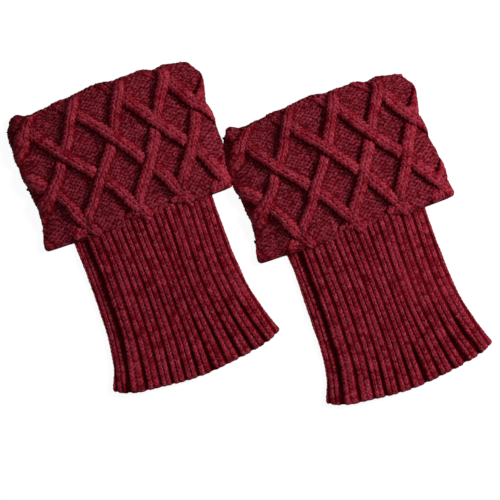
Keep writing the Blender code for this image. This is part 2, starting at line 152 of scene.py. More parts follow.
# The valleys between the ribs. A deeper one is wider open, and one deeper than 1 also sinks in.
FLARE_FROM = 0.55
FLARE_LENGTH = 0.4
VALLEY_APART = 29.0
VALLEY_OPEN = 0.04
VALLEY_OPEN_BY_DEPTH = 0.08
VALLEY_LEAST_OPEN = 0.05
VALLEY_SINK = 1.1
SINK_POWER = 1.25

# Each stitch's random tone, then the painted light and shade in the yarn's colour: how light it is
# painted at each place, and how much darker it is painted deep in a valley.
LOOP_SHADE = 0.3
VALLEY_LIGHT = 0.7
WALE_SIDE_LIGHT = 0.5
RIB_GAP_LIGHT = 0.1
RIB_STITCH_LIGHT = 0.95
DEEP_SHADE = 0.3
DEEP_FROM = 1.4
DEEP_MOST = 1.5

# How far hand-made knitting strays from its rule, and over how many millimetres it strays one way.
STRAYS = {
    "rib path": (0.03, 24),
    "rib course": (0.15, 9),
    "valley depth": (0.6, 17),
    "rib height": (0.35, 15),
}

# The mesh's own spacing.
WALE_STEPS = 6
UNDER_STEPS = 24
TURN_STEPS = (1.15, 1.3, 1.45)
HEM_INSIDE = (12.0, 7.0, 3.0)
HEM_STEPS = 7
FIRST_ROW = 0.4
LEG_ROW = 0.42
NORMAL_STEP = 0.12
NO_LENGTH = 1e-9
SAME_PLACE = 1e-6


def curve(keys, values, at):
    """Read a smooth curve at any places. Its slope at each point comes from the points beside it."""
    keys = np.array(keys, float)
    values = np.array(values, float)
    slopes = np.gradient(values, keys)
    at = np.clip(at, keys[0], keys[-1])
    i = np.clip(np.searchsorted(keys, at, side="right") - 1, 0, len(keys) - 2)
    span = keys[i + 1] - keys[i]
    t = (at - keys[i]) / span
    value = values[i] * (2 * t**3 - 3 * t**2 + 1) + values[i + 1] * (3 * t**2 - 2 * t**3)
    return value + span * (slopes[i] * (t**3 - 2 * t**2 + t) + slopes[i + 1] * (t**3 - t**2))


def smooth(rows, key, column, at):
    """Read a table's column at any places, on a smooth curve through its rows."""
    return curve([row[key] for row in rows], [row[column] for row in rows], at)


def ease(t):
    """Go smoothly from 0 to 1 as t does."""
    t = np.clip(t, 0.0, 1.0)
    return t * t * (3 - 2 * t)


def partly(least, share):
    """Go from the least value to 1 as the share goes from 0 to 1."""
    return least + (1 - least) * share


def scatter(i, j, seed):
    """A fixed random number from 0 to 1 for each pair of whole numbers, by the usual sine scramble."""
    value = np.sin(i * 127.1 + j * 311.7 + seed * 74.7) * 43758.5453
    return value - np.floor(value)


def drift(x, y, size, seed):
    """A slow random wander from -1 to 1 over a surface."""
    i, j = np.floor(x / size), np.floor(y / size)
    a, b = ease(x / size - i), ease(y / size - j)
    low = scatter(i, j, seed) * (1 - a) + scatter(i + 1, j, seed) * a
    high = scatter(i, j + 1, seed) * (1 - a) + scatter(i + 1, j + 1, seed) * a
    return 2 * (low * (1 - b) + high * b) - 1


def stray(kind, x, y, seed):
    """How far the knitting strays in one way at any point."""
    amount, size = STRAYS[kind]
    return amount * drift(x, y, size, seed)


def knit_stitch(wale, course):
    """Height from 0 to 1 of knit stitches: two slanting legs to each, like scales along the wale."""
    across = np.abs(wale - np.floor(wale) - 0.5) * 2
    along = course - STITCH_SLANT * across
    step = along - np.floor(along)
    leg = np.sqrt(np.clip(1 - ((across - 0.5) / STITCH_LEG) ** 2, 0, 1))
    body = np.sqrt(np.clip(1 - (2 * step - 1) ** 2, 0, 1))
    size = 1 + STITCH_UNEVEN * (scatter(np.floor(wale), np.floor(along), 3) - 0.5)
    return partly(STITCH_MIDDLE, leg) * partly(STITCH_GAP, body) * size


def side_point(edge, thickness, shoulder, turn):
    """Out and up of a point on a flattened tube's side. turn goes from 0 on top to pi underneath."""
    level = SIDE_LEVEL * thickness
    upper = turn <= math.pi / 2
    reach = np.where(upper, shoulder, level)
    height = np.where(upper, thickness - level, level)
    return edge - reach + reach * np.sin(turn), level + height * np.cos(turn)


def fallen_side(thickness, turned):
    """Height of the left side's upper half, which falls away more than the right side's."""
    level = SIDE_LEVEL * thickness
    return level + (thickness - level) * np.clip(np.cos(turned), 0, 1) ** LEFT_FALL


def leg_surface(rib, up):
    """A point of the leg's smooth surface. rib counts valleys round the tube from the left edge's one,
    and up is the distance from the hem; below zero the cloth turns round the rim and lies inside."""
    rim = LEG_WALL / 2
    turn = np.clip(-up / rim, 0, math.pi)
    inset = rim * (1 - np.cos(turn))
    inside = np.maximum(-up - math.pi * rim, 0.0)
    span = smooth(HEM, "across", "down", 0.0) - SEAM_DOWN
    reach = np.maximum(up, 0) + inside
    along = 1 - reach / span
    left = smooth(LEG_SIDES, "along", "left", along)
    right = smooth(LEG_SIDES, "along", "right", along)
    wide = (left + right) / 2
    middle = (right - left) / 2
    thickness = smooth(LEG_SIDES, "along", "thickness", along)
    # Across the front, a place lies between the two valleys beside it.
    last = len(RIB_VALLEYS) - 1
    levels = list(LEVELS.values())
    valleys = np.stack([curve(levels, [row[name] for name in LEVELS], along) for row in RIB_VALLEYS])
    near = np.clip(np.floor(rib), 0, last - 1).astype(int)
    part = np.clip(rib, 0, last) - near
    start = np.take_along_axis(valleys, near[None], 0)[0]
    stop = np.take_along_axis(valleys, near[None] + 1, 0)[0]
    across = start + (stop - start) * part
    # At the sides it turns over the shoulder, and beyond the last valley it goes on round underneath.
    edge = np.where(across > 0, right, left)
    shoulder = np.where(across > 0, LEG_SHOULDER, LEG_LEFT_SHOULDER)
    over = np.clip((np.abs(across) - edge + shoulder) / shoulder, 0, SHOULDER_LIMIT)
    turned = np.arcsin(over)
    beyond = np.where(rib > last, rib - last, np.where(rib < 0, -rib, 0.0))
    turned = turned + (math.pi - turned) * np.clip(beyond / SIDE_RIBS, 0, 1)
    out, height = side_point(edge, thickness, shoulder, turned)
    step = LEFT_STEP * ease((LEFT_STEP_RIB - rib) / LEFT_STEP_RIBS) * np.clip(np.cos(turned), 0, 1)
    upper = turned < math.pi / 2
    height = np.where((across < 0) & upper, fallen_side(thickness, turned) - step, height)
    flat_top = (over <= 0) & (beyond <= 0)
    sign = np.where(rib > last / 2, 1.0, -1.0)
    across = np.where(flat_top, across, sign * out)
    height = np.where(flat_top, thickness, height)
    crown = LEG_CROWN * (1 - 2 * (across / wide) ** 2) * ease(CROWN_END - along) * np.cos(turned)
    height = height + np.where(upper, crown, 0)
    under = np.clip((beyond - SIDE_RIBS) / UNDER_RIBS, 0, 1)
    across = across + (middle - across) * under
    down = smooth(HEM, "across", "down", across)
    down = SEAM_DOWN + (down - SEAM_DOWN) * (1 - reach / span) + rim * np.sin(turn)
    # The inside of the hem is the same form, drawn in by the wall.
    centre = thickness / 2
    across = middle + (across - middle) * ((wide - inset) / wide)
    height = centre + (height - centre) * ((thickness - 2 * inset) / thickness)
    return np.stack([across, -down, height], -1)


def raised(surface, x, up, height):
    """Points lifted off a surface along its own normal, worked out from its slope both ways."""
    side = surface(x + NORMAL_STEP, up) - surface(x - NORMAL_STEP, up)
    rise = surface(x, up + NORMAL_STEP) - surface(x, up - NORMAL_STEP)
    normal = np.cross(side, rise)
    normal /= np.maximum(np.linalg.norm(normal, axis=-1, keepdims=True), NO_LENGTH)
    return surface(x, up) + normal * np.asarray(height)[..., None]


def to_world(points, side):
    """Turn and move points in millimetres from one leg warmer's frame to the pair's, in metres."""
    x, y = points[..., 0], points[..., 1]
    place = PLACES[side]
    turned = [
        place[0] + x * math.cos(LEAN) - y * math.sin(LEAN),
        place[1] + x * math.sin(LEAN) + y * math.cos(LEAN),
        points[..., 2],
    ]
    turned[2] = np.maximum(turned[2], LOWEST)
    return np.stack(turned, -1) * MM


def knitted_grid(points, wale, course, painted_shade_and_tone, close):
    """A bmesh grid whose points take their places from an array, with its stitches' own coordinates."""
    rows, columns = points.shape[0] - 1, points.shape[1] - 1
    bm = bmesh.new()
    bmesh.ops.create_grid(bm, x_segments=columns, y_segments=rows, size=1.0)
    mesh = bpy.data.meshes.new("grid")
    bm.to_mesh(mesh)
    bm.free()
    flat = np.zeros(len(mesh.vertices) * 3)
    mesh.vertices.foreach_get("co", flat)
    flat = flat.reshape(-1, 3)
    i = np.rint((flat[:, 0] + 1) / 2 * columns).astype(int)
    j = np.rint((flat[:, 1] + 1) / 2 * rows).astype(int)
    mesh.vertices.foreach_set("co", points[j, i].astype(np.float32).ravel())
    corner = np.zeros(len(mesh.loops), int)
    mesh.loops.foreach_get("vertex_index", corner)
    stitches = mesh.uv_layers.new(name="stitches")
    pairs = np.stack([wale[j, i][corner], course[j, i][corner]], -1)
    stitches.data.foreach_set("uv", pairs.astype(np.float32).ravel())
    # The attribute of painted shade and tone: 0 where the yarn's colour is painted lit, 1 where it is
    # painted in shade, with each stitch's random tone mixed in.
    depth = mesh.attributes.new("painted_shade_and_tone", "FLOAT", "POINT")
    depth.data.foreach_set("value", painted_shade_and_tone[j, i].astype(np.float32))
    bm = bmesh.new()
    bm.from_mesh(mesh)
    if close:
        bm.verts.ensure_lookup_table()
        seam = [bm.verts[n] for n in np.flatnonzero((i == 0) | (i == columns))]
        bmesh.ops.remove_doubles(bm, verts=seam, dist=SAME_PLACE)
    bm.to_mesh(mesh)
    bm.free()
    return mesh


def finished_piece(name, meshes, material):
    """One object from one or more knitted meshes, joined, smooth and in the yarn's material."""
    bm = bmesh.new()
    for mesh in meshes:
        bm.from_mesh(mesh)
        bpy.data.meshes.remove(mesh)
    joined = bpy.data.meshes.new(name)
    bm.to_mesh(joined)
    bm.free()
    joined.shade_smooth()
    joined.materials.append(material)
    piece = bpy.data.objects.new(name, joined)
    bpy.context.scene.collection.objects.link(piece)
    return piece


def rib_columns():
    """Places round the leg: close ones on the front's wales, wider ones underneath."""
    wale = [VALLEY_SHARE + WALE_SHARE * n / WALE_STEPS for n in range(1, WALE_STEPS + 1)]
    one_rib = [0.0, VALLEY_FLOOR, VALLEY_SHARE] + wale + [part + WALE_SHARE for part in wale]
    one_rib.append(1 - VALLEY_FLOOR)
    last = len(RIB_VALLEYS) - 1
    front = [n + part for n in range(-1, last + 1) for part in one_rib] + [last + 1.0]
    under = list(TURN_STEPS) + list(np.linspace(SIDE_RIBS, SIDE_RIBS + UNDER_RIBS, UNDER_STEPS))
    return np.array([-n for n in reversed(under)] + front + [last + n for n in under])


def leg_rows():
    """Places up the leg: from inside the hem, round its rim, and up to just under the cuff."""
    rim = math.pi * LEG_WALL / 2
    span = float(smooth(HEM, "across", "down", 0.0)) - SEAM_DOWN + LEG_TUCK
    inside = [-rim - depth for depth in HEM_INSIDE]
    round_rim = list(np.linspace(-rim, 0, HEM_STEPS))
    return np.array(inside + round_rim + list(np.linspace(FIRST_ROW, span, int(span / LEG_ROW))))


def rib_relief(rib, up, along, seed):
    """Height of ribs and stitches, with the stitch coordinates and each point's painted shade and tone.
    """
    last = len(RIB_VALLEYS) - 1
    rib = rib + stray("rib path", rib * RIB_SPACING, up, seed)
    across = rib * RIB_SPACING
    number = np.floor(rib)
    part = rib - number
    wale = number * RIB_WALES + np.clip((part - VALLEY_SHARE) / WALE_SHARE, 0, RIB_WALES)
    course = up / LEG_COURSE + COURSE_SHIFT * scatter(np.floor(wale), 0, seed)
    course = course + stray("rib course", across, up, seed)
    near = np.clip(np.rint(rib), 0, last).astype(int)
    at_seam = np.array([row["depth"] for row in RIB_VALLEYS])[near]
    at_hem = np.array([row["hem_depth"] for row in RIB_VALLEYS])[near]
    depth = at_seam + (at_hem - at_seam) * ease((along - FLARE_FROM) / FLARE_LENGTH)
    depth = depth + stray("valley depth", near * VALLEY_APART, up, seed + 3)
    off = np.abs(part - np.rint(part))
    body = ease(off / np.maximum(VALLEY_OPEN + VALLEY_OPEN_BY_DEPTH * depth, VALLEY_LEAST_OPEN))
    bulge = np.sqrt(np.clip(1 - (2 * (wale - np.floor(wale)) - 1) ** 2, 0, 1))
    in_valley = np.abs(part - 0.5) > 0.5 - VALLEY_SHARE
    ladder = LADDER_LOW + LADDER_RISE * np.abs(np.sin(math.pi * course))
    stitch = np.where(in_valley, ladder, knit_stitch(wale, course))
    rise = smooth(LEG_SIDES, "along", "rib_rise", along)
    sunk = VALLEY_SINK * np.maximum(depth - 1, 0) ** SINK_POWER * (1 - body)
    height = rise * body - sunk + WALE_ROUND * (bulge - 1) * body
    height = height + RIB_STITCH_RISE * stitch * partly(VALLEY_STITCH, body)
    height = height + stray("rib height", across, up, seed + 1)
    # Painted shade: the yarn's colour is darker in the valleys, on each wale's sides and between the
    # stitches, and darker still deep in a closed valley. shade is each stitch's random tone.
    shade = LOOP_SHADE * (scatter(np.floor(wale), np.floor(course), seed + 5) - 0.5)
    light = partly(VALLEY_LIGHT, body) * partly(WALE_SIDE_LIGHT, bulge)
    painted_shade_and_tone = 1 - light * (RIB_GAP_LIGHT + RIB_STITCH_LIGHT * stitch) + shade
    painted_shade_and_tone = painted_shade_and_tone + DEEP_SHADE * np.clip(depth - DEEP_FROM, 0, DEEP_MOST) * (1 - body)
    facing = 1 - ease((np.maximum(-rib, rib - last) - FACING_RIBS) / FACING_RIBS)
    return height * facing, wale, course, np.clip(painted_shade_and_tone, 0, 1)


def add_node(tree, kind, settings=None, links=None):
    """Add a shader node with its settings, and link named or numbered inputs from other nodes."""
    node = tree.nodes.new(kind)
    for key, value in (settings or {}).items():
        if isinstance(key, str) and hasattr(node, key):
            setattr(node, key, value)
        else:
            node.inputs[key].default_value = value
    for key, socket in (links or {}).items():
        tree.links.new(socket, node.inputs[key])
    return node


def linear(code):
    """An sRGB hex colour as the linear values that a shader takes."""
    parts = [int(code[n : n + 2], 16) / 255 for n in (1, 3, 5)]
    return [p / 12.92 if p <= 0.04045 else ((p + 0.055) / 1.055) ** 2.4 for p in parts] + [1.0]


# Acrylic staple, loosely spun and brushed by wear, which the eye sees as matt with a soft halo. Its
# fibres are 0.3 mm apart, and they and the pale specks are drawn coarser than that, so that they show.
YARN_FINISH = {
    "Roughness": 0.88,
    "Specular IOR Level": 0.05,
    "Sheen Weight": 0.03,
    "Sheen Roughness": 0.45,
    "Sheen Tint": linear("#f0a9b4"),
}

# Each pattern's grain in millimetres, its detail, and the range that is read and what it turns into.
YARN_PATTERNS = {
    "fibre": (1.1, 4.0, (0.3, 0.72, 0.42, 1.55)),
    "patch": (14.0, 2.0, (0.3, 0.7, 0.88, 1.1)),
    "loop": (3.4, 1.0, (0.3, 0.7, 0.84, 1.16)),
    "speck": (1.3, 3.0, (0.54, 0.68, 0.0, 0.5)),
}
RANGE = ("From Min", "From Max", "To Min", "To Max")
# Where the pale specks show: only on the crests, as a painted highlight, fading out towards the painted
# shade of the hollows; and their colour.
CREST_HIGHLIGHT_RANGE = (0.1, 0.5, 1.0, 0.0)
PALE_FIBRE_AND_HIGHLIGHT = linear("#c46275")
FIBRE_BUMP = 0.55
FIBRE_DEPTH = 0.25

# Where a yarn's three colours lie on the way from a stitch's crest, painted lit at 0, to the hollow
# beside it, painted in shade.
CREST, SLOPE, HOLLOW = 0.12, 0.4, 0.92

# The numbers of a Mix node's sockets for colours.
MIX_FROM, MIX_TO, MIX_RESULT = 6, 7, 2


def heathered_acrylic(name, hollow_shade, body, light):
    """Spun acrylic yarn, brushed by wear, with paler fibres in it. Its three colours go from painted
    shade in the hollows to painted light on the crests of the stitches, as each piece's attribute of
    painted shade and tone says."""
    material = bpy.data.materials.new(name)
    material.use_nodes = True
    tree = material.node_tree
    shader = tree.nodes["Principled BSDF"]
    for socket, value in YARN_FINISH.items():
        shader.inputs[socket].default_value = value
    place = add_node(tree, "ShaderNodeTexCoord")
    painted_shade_and_tone = add_node(tree, "ShaderNodeAttribute", {"attribute_name": "painted_shade_and_tone"})
    noises, shares = {}, {}
    for kind, (grain, detail, limits) in YARN_PATTERNS.items():
        coarseness = {"Scale": 1 / (grain * MM), "Detail": detail}
        limits = dict(zip(RANGE, limits))
        noise = add_node(tree, "ShaderNodeTexNoise", coarseness, {"Vector": place.outputs["Object"]})
        share = add_node(tree, "ShaderNodeMapRange", limits, {"Value": noise.outputs["Fac"]})
        noises[kind], shares[kind] = noise, share.outputs[0]
    shade = add_node(tree, "ShaderNodeValToRGB", None, {"Fac": painted_shade_and_tone.outputs["Fac"]})
    ramp = shade.color_ramp
    ramp.elements[0].position, ramp.elements[0].color = CREST, linear(light)
    ramp.elements[1].position, ramp.elements[1].color = HOLLOW, linear(hollow_shade)
    ramp.elements.new(SLOPE).color = linear(body)
    times = {"operation": "MULTIPLY"}
    heather = add_node(tree, "ShaderNodeMath", times, {0: shares["fibre"], 1: shares["patch"]})
    heather = add_node(tree, "ShaderNodeMath", times, {0: heather.outputs[0], 1: shares["loop"]})
    scaled = {0: shade.outputs["Color"], "Scale": heather.outputs[0]}
    tinted = add_node(tree, "ShaderNodeVectorMath", {"operation": "SCALE"}, scaled)
    # Pale fibres show as specks, and they are painted only on the crests, where the colour is painted
    # lit, so that they also serve as a painted highlight.
    highlight_limits = dict(zip(RANGE, CREST_HIGHLIGHT_RANGE))
    crest_highlight = add_node(tree, "ShaderNodeMapRange", highlight_limits, {"Value": painted_shade_and_tone.outputs["Fac"]})
    specks_and_highlight = add_node(tree, "ShaderNodeMath", times, {0: shares["speck"], 1: crest_highlight.outputs[0]})
    mixed = {0: specks_and_highlight.outputs[0], MIX_FROM: tinted.outputs[0]}
    flecked = add_node(tree, "ShaderNodeMix", {"data_type": "RGBA", MIX_TO: PALE_FIBRE_AND_HIGHLIGHT}, mixed)
    tree.links.new(flecked.outputs[MIX_RESULT], shader.inputs["Base Color"])
    raised_fibre = {"Strength": FIBRE_BUMP, "Distance": FIBRE_DEPTH * MM}
    bump = add_node(tree, "ShaderNodeBump", raised_fibre, {"Height": noises["fibre"].outputs["Fac"]})
    tree.links.new(bump.outputs["Normal"], shader.inputs["Normal"])
    return material


LEG_SEED = 10
HEM_THINNING = 0.45
HEM_SOFT = 3.0

# The ribbed yarn's colours: painted shade in the hollows, its own red, and painted light on the crests.
rib_yarn = heathered_acrylic("heathered acrylic, ribbed", "#4a0009", "#6e0613", "#962638")
leg_span = float(smooth(HEM, "across", "down", 0.0)) - SEAM_DOWN
for number, side in enumerate(PLACES):
    rib, up = np.meshgrid(rib_columns(), leg_rows())
    along = np.clip(1 - up / leg_span, 0, 1)
    height, wale, course, painted_shade_and_tone = rib_relief(rib, up, along, LEG_SEED + number)
    height = height * (1 - HEM_THINNING * ease(0.5 - up / HEM_SOFT))
    height = height * np.clip(1 + np.minimum(up, 0) / HEM_SOFT, 0, 1)
    points = raised(leg_surface, rib, up, height)
    # Underneath, the leg's tucked end lies inside the cuff and not level with it.
    tucked = TUCK_LIFT * ease(up - leg_span + TUCK_START)
    points[..., 2] = np.maximum(points[..., 2], tucked)
    mesh = knitted_grid(to_world(points, side), wale, course, painted_shade_and_tone, close=True)
    leg = finished_piece(side + "_rib_knit", [mesh], rib_yarn)
    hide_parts(side + "_ribbed_leg")
    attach(leg, "root")

# Cuff grounds
# The cuff is a wider tube in the same yarn. Its ground is knitted with the purl side out, which shows as
# rows of small bumps, and sinks a little inside each diamond. Its lower edge is sewn over the leg's top.

# The left and right sides of a cuff that lies free. Where the pair touches, the left cuff's right side
# is tucked behind the other cuff, and the right cuff's left side is pressed in a little.
CUFF_SIDES = table(
    "down  left  right  tucked  pressed",
    (-5, 65.4, 65.8, 65.8, 62.3),
    (-1, 68.6, 69.0, 69.0, 64.8),
    (3, 69.8, 71.2, 71.2, 67.1),
    (11, 70.5, 71.7, 71.7, 68.6),
    (27, 70.0, 69.0, 69.0, 70.0),
    (47, 68.8, 69.9, 69.9, 68.8),
    (54, 68.2, 71.2, 70.4, 68.2),
    (58, 67.7, 72.2, 70.6, 67.7),
    (62, 67.1, 72.3, 70.5, 67.1),
    (71, 66.6, 72.2, 69.2, 66.6),
    (80, 69.4, 72.2, 68.3, 69.4),
    (89, 71.6, 73.4, 67.3, 71.6),
    (91, 71.6, 73.6, 67.0, 71.6),
    (92.7, 69.9, 72.2, 66.0, 69.9),
)
CUFF_TOP_EDGE = table(
    "across  down",
    (-71, 2.0),
    (-66, -0.6),
    (-61, -3.0),
    (-56, -0.9),
    (-50, 0.0),
    (-40, -0.9),
    (-30, -2.2),
    (-15, -3.0),
    (-2, -4.8),
    (5, -4.1),
    (12, -3.0),
    (22, -3.4),
    (34, -3.3),
    (43, -0.8),
    (50, -1.9),
    (57, -0.6),
    (62, 0.5),
    (67, 2.7),
    (71, 7.0),
)
CUFF_LOWER_EDGE = table(
    "across  sag",
    (-60, 0.0),
    (-52, 0.4),
    (-44, -1.4),
    (-36, 0.8),
    (-24, 1.8),
    (-14, 1.0),
    (-9, -2.4),
    (-3, 0.6),
    (4, 1.9),
    (11, 0.2),
    (18, -1.2),
    (26, -2.0),
    (33, 0.6),
    (42, 1.6),
    (52, 0.6),
    (60, 0.0),
)

# The tube's form, with its rolled top edge and its lower edge tucked in over the leg.
CUFF_TOP = -4.9
CUFF_HEIGHT = SEAM_DOWN - CUFF_TOP
CUFF_THICKNESS = 7.6
CUFF_WALL = 2.4
CUFF_FLAT = 64.0
CUFF_SHOULDER = 7.5
LEFT_SHOULDER = 11.0
SHOULDER_ARC = 1.22
CUFF_ARC = CUFF_SHOULDER * SHOULDER_ARC
CUFF_UNDER = 62.0
CUFF_CROWN = 1.5
CROWN_LENGTH = 20.0
CROWN_REACH = 1.1
RIM_SHARE = 0.72
RIM_TAPER = 8.0
TOP_LINE_REACH = 16.0
SEAM_LAP = 0.5
DRAW_TOP = 1.2
DRAW_LENGTH = 1.6
PULLED_WIDTH = 17.0
EDGE_ROUND = 2.6
EDGE_TUCK = 0.36
SAG_UP = 12.0
SAG_END = 60.0
CORNER_REACH = 0.9
CORNER_LENGTH = 6.0
CORNER_THINNING = 0.38
CORNER_TOP = 3.6
CORNER_HEIGHT = 4.0
CORNER_DROP = 0.9

# The lattice: cables cross in rows, and every second row is moved by half a period. The tables say how
# far the cables of each slant wander to the right of their regular place, on their way down and where
# the cloth is pulled out to its sides.
CROSSING_PERIOD = 33.4
CROSSING_ROW = 23.6
CROSSING_ACROSS = 14.5
CROSSING_DOWN = 6.9
CABLE_PATHS = table(
    "down  rising  falling",
    (-8, -8.0, -0.4),
    (3, -4.9, -0.4),
    (10, -3.2, -0.5),
    (15, -2.0, -0.6),
    (22, -0.6, -0.5),
    (30, 0.6, 0.0),
    (42, 1.5, 0.5),
    (54, 1.6, 0.1),
    (65, 2.6, -0.6),
    (77, 2.6, -2.0),
    (94, 2.6, -3.0),
)
SIDE_PULL = table(
    "across  rising  falling",
    (-66, -11.0, -8.7),
    (-60, -9.0, -8.7),
    (-53, -6.3, -8.6),
    (-42, -5.0, -7.6),
    (-32, -3.2, -5.9),
    (-24, -1.9, -4.1),
    (-15, 0.3, -2.3),
    (-5, 2.6, -0.8),
    (5, 3.8, 0.0),
    (18, 4.2, 0.0),
    (30, 4.1, 0.0),
    (42, 3.3, 0.0),
    (56, 1.8, 0.0),
    (68, 1.4, 0.0),
)
RISING_PULL = table(
    "down  share",
    (-8, 0.55),
    (10, 0.5),
    (20, 0.4),
    (30, 0.65),
    (45, 0.9),
    (60, 1.0),
    (94, 1.05),
)

# The purl ground's stitches, its swells and hollows, and the loops of its cast-off edge.
LATTICE_STITCHES = 8
CUFF_WALE = CROSSING_PERIOD / LATTICE_STITCHES
CUFF_COURSE = CROSSING_ROW / LATTICE_STITCHES
GROUND_SAG = 0.9
PURL_RISE = 0.65
PURL_WIDTH = 0.47
PURL_LENGTH = 0.34
PURL_BOW = 0.5
LOWER_PURL = 0.85
PURL_SMALLEST = 0.5
PURL_UNEVEN = 0.7
LOOP_RISE = 0.9
LOOP_UP = 0.6
LOOP_LENGTH = 1.7
LOOP_SMALLEST = 0.4
LOOP_UNEVEN = 1.2
# Painted light and shade in the ground's colour: lighter on the purl bumps, darker between them, and a
# painted shadow within CABLE_NEAR of each cable.
GROUND_LIGHT = 0.35
PURL_LIGHT = 0.7
CABLE_SHADOW = 0.25
CABLE_NEAR = 0.24
FACING_ARCS = 1.15
FADING_ARCS = 0.7
STRAYS.update(
    {
        "ground wale": (0.25, 11),
        "ground wale, fine": (0.08, 4),
        "ground course": (0.25, 12),
        "ground course, fine": (0.12, 4),
        "ground height": (0.35, 9),
    }
)
PUFFS = table(
    "across  down  wide  tall  rise",
    (-53, 80, 9, 9, 0.7),
    (-62, 88, 7, 7, -2.2),
    (-22, 83, 13, 9, 1.5),
    (14, 82, 10, 8, -0.9),
    (47, 81, 13, 10, 1.6),
    (3, 88, 5, 8, 1.3),
    (-10, 87.5, 3.6, 5, -3.2),
    (24, 86, 6, 5, -1.6),
    (-44, 86, 5, 6, -2.2),
    (-16, 32, 6, 8, -0.8),
    (2, 56, 7, 8, -0.7),
    (38, 57, 6, 9, -0.6),
)

# The mesh's own spacing.
FRONT_ARCS = 1.3
CUFF_COLUMN = 0.48
CUFF_UNDER_STEPS = 26
CUFF_INSIDE = (2, 5, 9, 14)
CUFF_RIM_STEPS = 8
CUFF_SEAM_ROWS = (-0.9, -0.3, 0.0, 0.15, 0.35, 0.6, 0.9, 1.25)
CUFF_FIRST_ROW = 1.6
CUFF_LAST_ROW = 0.45
CUFF_ROWS = 196


def cuff_surface_of(left_column, right_column):
    """The smooth surface of one cuff, as a function of the place round it and up from the seam."""
    leg_top = LEG_SIDES[0]

    def surface(x, up):
        rim = CUFF_WALL / 2
        turn = np.clip((up - CUFF_HEIGHT) / rim, 0, math.pi)
        inset = rim * (1 - np.cos(turn))
        inside = np.maximum(up - CUFF_HEIGHT - math.pi * rim, 0.0)
        row_down = SEAM_DOWN - np.clip(up, 0, CUFF_HEIGHT)
        # The two sides are drawn in from their full width to the leg's at the seam.
        draw = ease((DRAW_TOP - up) / DRAW_LENGTH)
        left_full = smooth(CUFF_SIDES, "down", left_column, row_down)
        right_full = smooth(CUFF_SIDES, "down", right_column, row_down)
        left = left_full + (leg_top["left"] + SEAM_LAP - left_full) * draw
        right = right_full + (leg_top["right"] + SEAM_LAP - right_full) * draw
        wide = (left + right) / 2
        middle = (right - left) / 2
        edge = np.where(x > 0, right, left)
        edge_full = np.where(x > 0, right_full, left_full)
        leg_edge = np.where(x > 0, leg_top["right"], leg_top["left"])
        shoulder = np.where(x > 0, CUFF_SHOULDER, LEFT_SHOULDER)
        # The tube is thinner at its rolled rim, in its lower corners and where it tucks in at the leg.
        size = np.abs(x)
        slim = partly(RIM_SHARE, ease((CUFF_HEIGHT - up) / RIM_TAPER))
        past_leg = size * edge_full / CUFF_FLAT * CORNER_REACH - leg_edge
        corner = ease(past_leg / CORNER_LENGTH + 0.5)
        low = 1 - CORNER_THINNING * corner * ease((CORNER_TOP - up) / CORNER_HEIGHT)
        tucked_under = 1 - np.sqrt(np.clip(1 - np.clip(1 - up / EDGE_ROUND, 0, 1) ** 2, 0, 1))
        low = low - EDGE_TUCK * (1 - corner) * tucked_under
        thickness = CUFF_THICKNESS * slim * low
        # Across the front, round the shoulder, and on underneath.
        turned = np.clip((size - CUFF_FLAT) / CUFF_ARC, 0, 2) * math.pi / 2
        upper = turned < math.pi / 2
        out, height = side_point(edge, thickness, shoulder, turned)
        height = np.where((x < 0) & upper, fallen_side(thickness, turned), height)
        flat_part = np.minimum(size / CUFF_FLAT, 1) * (edge_full - shoulder)
        keep = leg_edge - PULLED_WIDTH
        pulled = (edge - shoulder - keep) / (edge_full - shoulder - keep)
        drawn = np.where(flat_part > keep, keep + (flat_part - keep) * pulled, flat_part)
        across = np.where(size <= CUFF_FLAT, drawn, out) * np.sign(x)
        height = np.where(size <= CUFF_FLAT, thickness, height)
        under = np.clip((size - CUFF_FLAT - 2 * CUFF_ARC) / CUFF_UNDER, 0, 1)
        across = across + (middle - across) * under
        # The top edge is wavy, and the lower one sags between the places where it is sewn.
        top_line = smooth(CUFF_TOP_EDGE, "across", "down", across)
        lift = (top_line - CUFF_TOP) * np.clip(1 - (CUFF_HEIGHT - up) / TOP_LINE_REACH, 0, 1)
        drop = CORNER_DROP * corner * ease((CORNER_HEIGHT - up) / CORNER_HEIGHT) * (1 - draw)
        down = SEAM_DOWN - np.minimum(up, CUFF_HEIGHT) + lift + drop - rim * np.sin(turn) + inside
        sag = smooth(CUFF_LOWER_EDGE, "across", "sag", np.where(upper, across, SAG_END))
        down = down + sag * (1 - corner) * ease((SAG_UP - up) / SAG_UP)
        centre = thickness / 2
        across = middle + (across - middle) * (wide - inset) / wide
        height = centre + (height - centre) * (thickness - 2 * inset) / thickness
        crown = CUFF_CROWN * (1 - 2 * np.minimum(size / CUFF_FLAT, CROWN_REACH) ** 2)
        crown = crown * ease(up / CROWN_LENGTH) * slim
        height = height + np.where(upper, crown * np.cos(turned), 0)
        return np.stack([across, -down, height], -1)

    return surface


def wander(slant, x, down):
    """How far the cables of one slant lie to the right of their regular place, at any point."""
    pull = smooth(SIDE_PULL, "across", slant, x)
    if slant == "rising":
        pull = pull * smooth(RISING_PULL, "down", "share", down)
    return smooth(CABLE_PATHS, "down", slant, down) + pull


def lattice_phase(x, down):
    """How far a point is between the cables that fall to the right and those that rise to the right."""
    step = (down - CROSSING_DOWN) / CROSSING_ROW
    falling = (x - wander("falling", x, down) - CROSSING_ACROSS) / CROSSING_PERIOD - step / 2
    rising = (x - wander("rising", x, down) - CROSSING_ACROSS) / CROSSING_PERIOD + step / 2
    return falling, rising


